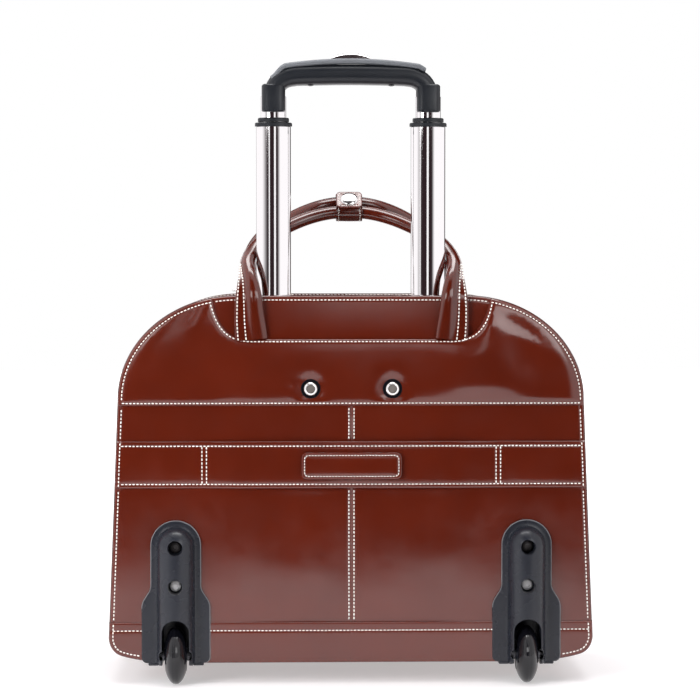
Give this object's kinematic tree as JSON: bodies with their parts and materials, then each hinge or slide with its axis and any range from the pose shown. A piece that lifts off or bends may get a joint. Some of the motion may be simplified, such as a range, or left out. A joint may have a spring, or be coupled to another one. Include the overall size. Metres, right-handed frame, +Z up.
{
  "type": "rolling laptop case",
  "caption": "Leather laptop case with rounded shoulders, two tote handles, a telescopic trolley handle, recessed back wheels, front feet and a zipped front pocket.",
  "frame": {"origin": "on the floor, under the middle of the whole object", "axes": "+Z up, +Y towards the front pocket; the trolley handle and the wheels are on the -Y side, and X runs across the case"},
  "size_m": [0.432, 0.2104, 0.5602],
  "materials": {
    "oxblood_leather": "glossy, smooth, cream stitching",
    "lining": "woven lining over padding",
    "stiffener": "matt board",
    "sleeve_metal": "plain drawn tube",
    "polished_tube": "mirror polished",
    "charcoal_plastic": "satin moulded",
    "soft_touch": "matt soft touch",
    "wheel_rubber": "glossy moulded",
    "zip_tape": "woven tape with moulded teeth",
    "nickel": "polished",
    "plated_button": "chrome plated"
  },
  "bodies": {
    "root": {"rear_panel": "oxblood_leather", "front_panel": "oxblood_leather", "binding_rear": "oxblood_leather", "binding_front": "oxblood_leather", "base_cover": "oxblood_leather", "gusset_rear": "oxblood_leather", "gusset_front": "oxblood_leather", "main_zip": "zip_tape", "rear_upper_panel": "oxblood_leather", "rear_yoke": "oxblood_leather", "luggage_strap": "oxblood_leather", "blank_patch": "oxblood_leather", "frame_bolt_left": "nickel", "frame_bolt_right": "nickel", "front_pocket": "oxblood_leather", "front_pocket_zip": "zip_tape", "base_board": "stiffener", "laptop_divider": "lining", "front_foot_left": "charcoal_plastic", "front_foot_right": "charcoal_plastic", "wheel_housing_left": "charcoal_plastic", "housing_screw_left_lower": "nickel", "housing_screw_left_upper": "nickel", "wheel_axle_left": "nickel", "wheel_housing_right": "charcoal_plastic", "housing_screw_right_lower": "nickel", "housing_screw_right_upper": "nickel", "wheel_axle_right": "nickel", "upper_bracket": "charcoal_plastic", "lower_bracket": "charcoal_plastic", "trolley_sleeve_left": "sleeve_metal", "trolley_sleeve_right": "sleeve_metal", "tote_handle_rear": "oxblood_leather", "tote_handle_front": "oxblood_leather", "keeper_band": "oxblood_leather"},
    "stage_a": {"stage_a_tube_left": "polished_tube", "stage_a_tube_right": "polished_tube", "stage_a_collar_left": "charcoal_plastic", "stage_a_collar_right": "charcoal_plastic"},
    "stage_b": {"stage_b_tube_left": "polished_tube", "stage_b_tube_right": "polished_tube", "stage_b_collar_left": "charcoal_plastic", "stage_b_collar_right": "charcoal_plastic"},
    "stage_c": {"stage_c_tube_left": "polished_tube", "stage_c_tube_right": "polished_tube", "grip_shell": "charcoal_plastic", "grip_cap": "soft_touch"},
    "button": {"grip_button": "plated_button"},
    "wheel_left": {"wheel_hub_left": "charcoal_plastic", "wheel_tyre_left": "wheel_rubber"},
    "wheel_right": {"wheel_hub_right": "charcoal_plastic", "wheel_tyre_right": "wheel_rubber"},
    "slider_left": {"main_slider_left": "nickel"},
    "pull_left": {"main_pull_left": "nickel"},
    "slider_right": {"main_slider_right": "nickel"},
    "pull_right": {"main_pull_right": "nickel"},
    "slider_pocket": {"front_pocket_slider": "nickel"},
    "pull_pocket": {"front_pocket_pull": "nickel"},
    "keeper_flap": {"keeper_tab": "oxblood_leather", "keeper_snap": "nickel"}
  },
  "joints": [
    {"name": "trolley_stage_a", "type": "slide", "parent": "root", "child": "stage_a", "axis": [0, 0, 1], "range_m": [-0.155, 0]},
    {"name": "trolley_stage_b", "type": "slide", "parent": "stage_a", "child": "stage_b", "axis": [0, 0, 1], "range_m": [0, 0.23]},
    {"name": "trolley_stage_c", "type": "slide", "parent": "stage_b", "child": "stage_c", "axis": [0, 0, 1], "range_m": [0, 0.23]},
    {"name": "grip_button_press", "type": "slide", "parent": "stage_c", "child": "button", "axis": [0, 0, -1], "range_m": [0, 0.004], "stiffness_N_per_m": 400, "springref_m": -0.004},
    {"name": "wheel_left_spin", "type": "hinge", "parent": "root", "child": "wheel_left", "pos_m": [-0.156, -0.07975, 0.0255], "axis": [1, 0, 0], "continuous": true},
    {"name": "wheel_right_spin", "type": "hinge", "parent": "root", "child": "wheel_right", "pos_m": [0.156, -0.07975, 0.0255], "axis": [1, 0, 0], "continuous": true},
    {"name": "main_zip_left", "type": "slide", "parent": "root", "child": "slider_left", "axis": [1, 0, 0], "range_m": [-0.0105, 0]},
    {"name": "main_pull_left_swing", "type": "hinge", "parent": "slider_left", "child": "pull_left", "pos_m": [-0.0879, 0.00325, 0.3487], "axis": [0, 1, 0], "range_deg": [0, 100]},
    {"name": "main_zip_right", "type": "slide", "parent": "root", "child": "slider_right", "axis": [1, 0, 0], "range_m": [0, 0.1715]},
    {"name": "main_pull_right_swing", "type": "hinge", "parent": "slider_right", "child": "pull_right", "pos_m": [-0.0731, 0.00325, 0.3487], "axis": [0, -1, 0], "range_deg": [0, 100]},
    {"name": "pocket_zip", "type": "slide", "parent": "root", "child": "slider_pocket", "axis": [1, 0, 0], "range_m": [0, 0.256]},
    {"name": "pocket_pull_swing", "type": "hinge", "parent": "slider_pocket", "child": "pull_pocket", "pos_m": [-0.1266, 0.09425, 0.2309], "axis": [0, -1, 0], "range_deg": [0, 165]},
    {"name": "keeper_flap_open", "type": "hinge", "parent": "root", "child": "keeper_flap", "pos_m": [0, 0.00088, 0.43828], "axis": [-1, 0, 0], "range_deg": [0, 110]}
  ]
}
